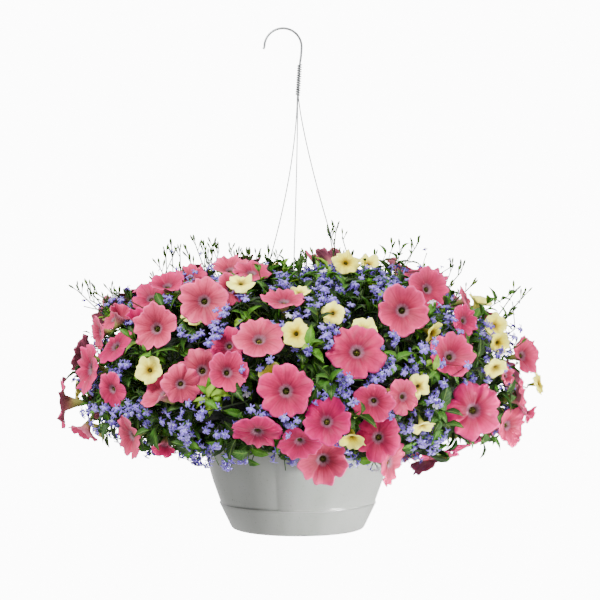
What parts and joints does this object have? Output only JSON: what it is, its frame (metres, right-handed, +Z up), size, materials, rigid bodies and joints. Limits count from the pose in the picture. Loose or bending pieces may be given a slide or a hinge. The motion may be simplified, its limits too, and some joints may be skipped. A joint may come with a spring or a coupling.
{
  "type": "flowering hanging basket",
  "caption": "Round flared plastic hanging pot with drip saucer on a three-wire hanger with a J-hook, planted full with pink, yellow and blue trailing flowers.",
  "frame": {"origin": "centre of the saucer's flat underside", "axes": "+Z up along the pot's axis to the hanger, -Y towards the viewer of the front, +X to the viewer's right"},
  "size_m": [0.6944, 0.6571, 0.7255],
  "materials": {
    "pot_plastic": "smooth light grey moulding",
    "soil": "loose dark potting mix",
    "hanger_steel": "galvanised wire",
    "foliage_green": "soft matt leaves and stems",
    "petunia_pink": "thin velvety petals",
    "calibrachoa_yellow": "thin velvety petals",
    "lobelia_blue": "thin soft petals"
  },
  "bodies": {
    "root": {"calibrachoa_spray_01": "calibrachoa_yellow", "calibrachoa_spray_02": "calibrachoa_yellow", "calibrachoa_spray_03": "calibrachoa_yellow", "calibrachoa_spray_04": "calibrachoa_yellow", "calibrachoa_spray_05": "calibrachoa_yellow", "calibrachoa_spray_06": "calibrachoa_yellow", "calibrachoa_spray_07": "calibrachoa_yellow", "calibrachoa_spray_08": "calibrachoa_yellow", "calibrachoa_spray_09": "calibrachoa_yellow", "calibrachoa_spray_10": "calibrachoa_yellow", "calibrachoa_spray_11": "calibrachoa_yellow", "calibrachoa_spray_12": "calibrachoa_yellow", "foliage": "foliage_green", "hanger_binding": "hanger_steel", "hanger_hook": "hanger_steel", "hanger_wire_front": "hanger_steel", "hanger_wire_left": "hanger_steel", "hanger_wire_right": "hanger_steel", "lobelia_spray_01": "lobelia_blue", "lobelia_spray_02": "lobelia_blue", "lobelia_spray_03": "lobelia_blue", "lobelia_spray_04": "lobelia_blue", "lobelia_spray_05": "lobelia_blue", "lobelia_spray_06": "lobelia_blue", "lobelia_spray_07": "lobelia_blue", "lobelia_spray_08": "lobelia_blue", "lobelia_spray_09": "lobelia_blue", "lobelia_spray_10": "lobelia_blue", "lobelia_spray_11": "lobelia_blue", "lobelia_spray_12": "lobelia_blue", "lobelia_spray_13": "lobelia_blue", "lobelia_spray_14": "lobelia_blue", "lobelia_spray_15": "lobelia_blue", "lobelia_spray_16": "lobelia_blue", "lobelia_spray_17": "lobelia_blue", "petunia_spray_01": "petunia_pink", "petunia_spray_02": "petunia_pink", "petunia_spray_03": "petunia_pink", "petunia_spray_04": "petunia_pink", "petunia_spray_05": "petunia_pink", "petunia_spray_06": "petunia_pink", "petunia_spray_07": "petunia_pink", "petunia_spray_08": "petunia_pink", "petunia_spray_09": "petunia_pink", "petunia_spray_10": "petunia_pink", "petunia_spray_11": "petunia_pink", "petunia_spray_12": "petunia_pink", "petunia_spray_13": "petunia_pink", "petunia_spray_14": "petunia_pink", "petunia_spray_15": "petunia_pink", "petunia_spray_16": "petunia_pink", "petunia_spray_17": "petunia_pink", "petunia_spray_18": "petunia_pink", "petunia_spray_19": "petunia_pink", "petunia_spray_20": "petunia_pink", "petunia_spray_21": "petunia_pink", "petunia_spray_22": "petunia_pink", "pot": "pot_plastic", "saucer": "pot_plastic", "soil": "soil"}
  },
  "joints": []
}
